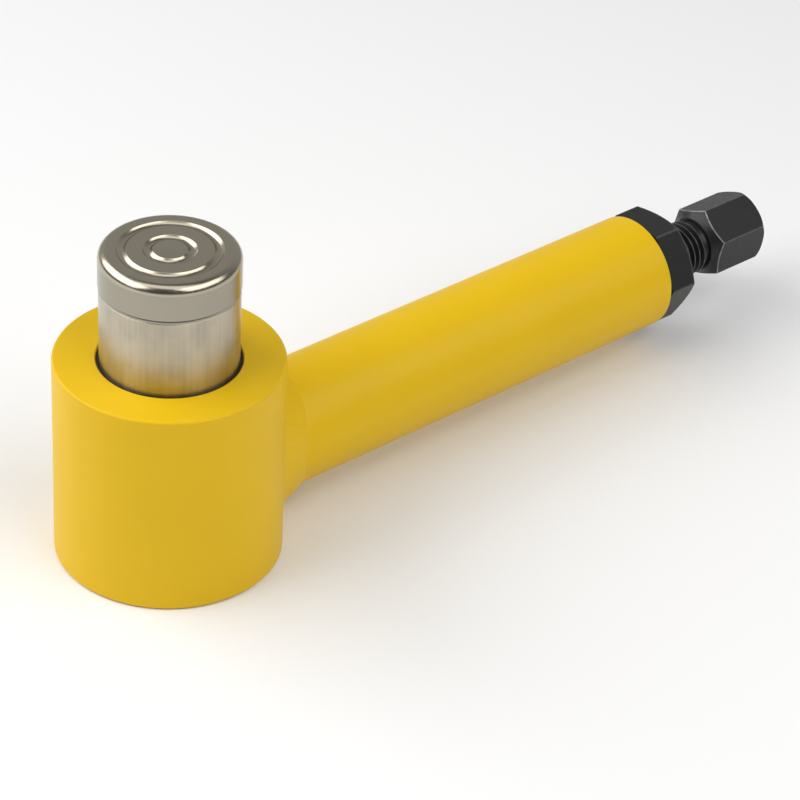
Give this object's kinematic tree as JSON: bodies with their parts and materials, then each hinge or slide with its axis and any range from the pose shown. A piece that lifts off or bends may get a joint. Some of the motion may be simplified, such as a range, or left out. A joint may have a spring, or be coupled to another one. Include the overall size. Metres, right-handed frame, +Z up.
{
  "type": "hydraulic jack",
  "caption": "Screw-operated hydraulic jack: short cylinder with a grooved ram saddle, a side pump barrel welded square to it, and a threaded spindle with a hexagonal drive head.",
  "frame": {"origin": "middle of the base face, which the jack stands on, on the ram's axis", "axes": "+Z up the ram, the way it lifts; +X out along the pump barrel, towards the drive head"},
  "size_m": [0.3014, 0.075, 0.113],
  "materials": {
    "yellow_paint": "smooth satin-gloss enamel over steel",
    "ram_chrome": "hard chrome, fine ground finish",
    "saddle_steel": "turned and polished steel",
    "black_oxide": "black oxide over machined steel",
    "bare_steel": "machined steel, lightly oiled",
    "spring_steel": "drawn spring wire",
    "bush_bronze": "bored bronze",
    "washer_copper": "soft copper",
    "seal_rubber": "nitrile, moulded",
    "seal_polyurethane": "polyurethane, moulded",
    "backup_plastic": "turned PTFE",
    "band_plastic": "filled bearing plastic"
  },
  "bodies": {
    "housing": {"cylinder_body": "yellow_paint", "pump_tube": "yellow_paint", "weld_bead": "yellow_paint", "base_plug": "bare_steel", "base_o_ring": "seal_rubber", "base_backup_ring": "backup_plastic", "bleed_screw": "bare_steel", "bleed_washer": "washer_copper", "guide_bush": "bush_bronze", "wiper_ring": "seal_rubber", "gland_nut": "black_oxide", "gland_o_ring": "seal_rubber", "return_spring": "spring_steel", "spring_anchor_lower": "bare_steel"},
    "ram_unit": {"ram": "ram_chrome", "saddle": "saddle_steel", "saddle_o_ring": "seal_rubber", "ram_u_cup": "seal_polyurethane", "ram_backup_ring": "backup_plastic", "ram_wear_band": "band_plastic", "spring_anchor_upper": "bare_steel"},
    "plunger_unit": {"plunger": "bare_steel", "plunger_u_cup": "seal_polyurethane", "plunger_backup_ring": "backup_plastic", "plunger_wear_band": "band_plastic", "plunger_keeper": "bare_steel", "thrust_ball": "bare_steel"},
    "spindle_unit": {"spindle": "black_oxide"}
  },
  "joints": [
    {"name": "plunger_slide", "type": "slide", "parent": "housing", "child": "plunger_unit", "axis": [-1, 0, 0], "range_m": [-0.104, 0.016]},
    {"name": "spindle_turn", "type": "hinge", "parent": "plunger_unit", "child": "spindle_unit", "pos_m": [0.15, 0, 0.0272], "axis": [-1, 0, 0], "range_deg": [-14980, 2308]},
    {"name": "ram_lift", "type": "slide", "parent": "housing", "child": "ram_unit", "axis": [0, 0, 1], "range_m": [-0.02603, 0.00403], "deforming": ["return_spring"]}
  ],
  "couplings": [
    {"joint": "spindle_turn", "follows": "plunger_slide", "rad_per_m": 2513.3},
    {"joint": "ram_lift", "follows": "plunger_slide", "ratio": 0.25}
  ]
}
